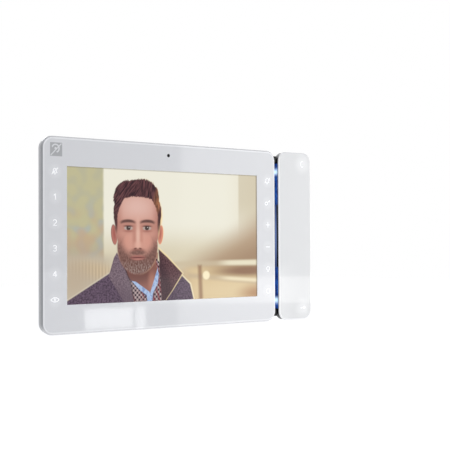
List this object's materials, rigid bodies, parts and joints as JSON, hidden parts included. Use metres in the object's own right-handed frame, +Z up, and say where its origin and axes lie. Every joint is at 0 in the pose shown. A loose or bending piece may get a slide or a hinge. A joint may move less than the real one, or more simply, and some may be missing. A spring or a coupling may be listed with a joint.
{
  "type": "video intercom monitor",
  "caption": "Flat wall-hung video intercom monitor with a wide screen, touch keys in the side margins and a slim magnetic handset in a lit cradle at its right.",
  "frame": {"origin": "centre of the wall screw pattern, on the wall behind the bracket", "axes": "+X to the right as one faces the screen, +Y into the wall, +Z up"},
  "size_m": [0.224, 0.026, 0.1226],
  "materials": {
    "zinc_steel": "zinc plated, pressed",
    "panel_white": "gloss moulded plate",
    "window_clear": "clear polished",
    "foam_black": "closed-cell foam",
    "display_glass": "display cell",
    "backlight_tray": "pressed tray",
    "casing_grey": "fine moulded texture",
    "cover_grey": "fine moulded texture",
    "board_green": "soldermask",
    "light_guide": "milky",
    "rubber_black": "satin",
    "capsule_metal": "drawn can",
    "screw_steel": "zinc plated",
    "chip_black": "moulded package",
    "ribbon_amber": "film",
    "terminal_green": "moulded",
    "switch_red": "moulded",
    "slider_white": "moulded",
    "speaker_grey": "basket and magnet",
    "cradle_black": "satin moulded",
    "handset_white": "gloss moulded plate",
    "handset_black": "satin moulded",
    "light_blue": "tinted light guide",
    "strip_dark": "soldermask",
    "lamp_lens": "lens",
    "magnet_nickel": "nickel plated",
    "reed_glass": "sealed glass tube"
  },
  "bodies": {
    "bracket": {"wall_bracket": "zinc_steel"},
    "monitor": {"front_panel": "panel_white", "display_window": "window_clear", "window_gasket": "foam_black", "lcd_panel": "display_glass", "lcd_backlight": "backlight_tray", "mid_frame": "casing_grey", "key_board_left": "board_green", "key_board_right": "board_green", "key_light_guides_left": "light_guide", "key_light_guides_right": "light_guide", "microphone_boot": "rubber_black", "microphone_capsule": "capsule_metal", "main_board": "board_green", "board_screws": "screw_steel", "main_chips": "chip_black", "display_ribbon": "ribbon_amber", "terminal_block": "terminal_green", "terminal_screws": "screw_steel", "code_switch_body": "switch_red", "speaker_gasket": "foam_black", "loudspeaker": "speaker_grey", "rear_cover": "cover_grey", "case_screws": "screw_steel", "cradle_shell": "cradle_black", "cradle_screws": "screw_steel", "cradle_back_cover": "cradle_black", "cradle_cover_screws": "screw_steel", "cradle_light_bar": "light_blue", "cradle_lamp_strip": "strip_dark", "cradle_lamps": "lamp_lens", "cradle_flat_lead": "ribbon_amber", "cradle_magnets": "magnet_nickel", "hook_board": "board_green", "reed_switch": "reed_glass", "cradle_cord_socket": "rubber_black"},
    "handset": {"handset_front_shell": "handset_white", "handset_back_shell": "handset_black", "handset_board": "board_green", "handset_light_guides": "light_guide", "handset_ear_gasket": "foam_black", "handset_earpiece": "speaker_grey", "handset_mic_boot": "rubber_black", "handset_microphone": "capsule_metal", "handset_magnets": "magnet_nickel", "handset_screws": "screw_steel", "handset_cord_socket": "rubber_black"},
    "switch_1": {"code_slider_1": "slider_white"},
    "switch_2": {"code_slider_2": "slider_white"},
    "switch_3": {"code_slider_3": "slider_white"},
    "switch_4": {"code_slider_4": "slider_white"},
    "switch_5": {"code_slider_5": "slider_white"},
    "switch_6": {"code_slider_6": "slider_white"},
    "switch_7": {"code_slider_7": "slider_white"},
    "switch_8": {"code_slider_8": "slider_white"}
  },
  "joints": [
    {"name": "monitor_unhook", "type": "slide", "parent": "bracket", "child": "monitor", "axis": [0, 0, 1], "range_m": [0, 0.005]},
    {"name": "handset_lift", "type": "slide", "parent": "monitor", "child": "handset", "axis": [0, -1, 0], "range_m": [0, 0.06]},
    {"name": "switch_1_slide", "type": "slide", "parent": "monitor", "child": "switch_1", "axis": [0, 0, 1], "range_m": [0, 0.0018]},
    {"name": "switch_2_slide", "type": "slide", "parent": "monitor", "child": "switch_2", "axis": [0, 0, 1], "range_m": [0, 0.0018]},
    {"name": "switch_3_slide", "type": "slide", "parent": "monitor", "child": "switch_3", "axis": [0, 0, 1], "range_m": [0, 0.0018]},
    {"name": "switch_4_slide", "type": "slide", "parent": "monitor", "child": "switch_4", "axis": [0, 0, 1], "range_m": [0, 0.0018]},
    {"name": "switch_5_slide", "type": "slide", "parent": "monitor", "child": "switch_5", "axis": [0, 0, 1], "range_m": [0, 0.0018]},
    {"name": "switch_6_slide", "type": "slide", "parent": "monitor", "child": "switch_6", "axis": [0, 0, 1], "range_m": [0, 0.0018]},
    {"name": "switch_7_slide", "type": "slide", "parent": "monitor", "child": "switch_7", "axis": [0, 0, 1], "range_m": [0, 0.0018]},
    {"name": "switch_8_slide", "type": "slide", "parent": "monitor", "child": "switch_8", "axis": [0, 0, 1], "range_m": [0, 0.0018]}
  ]
}
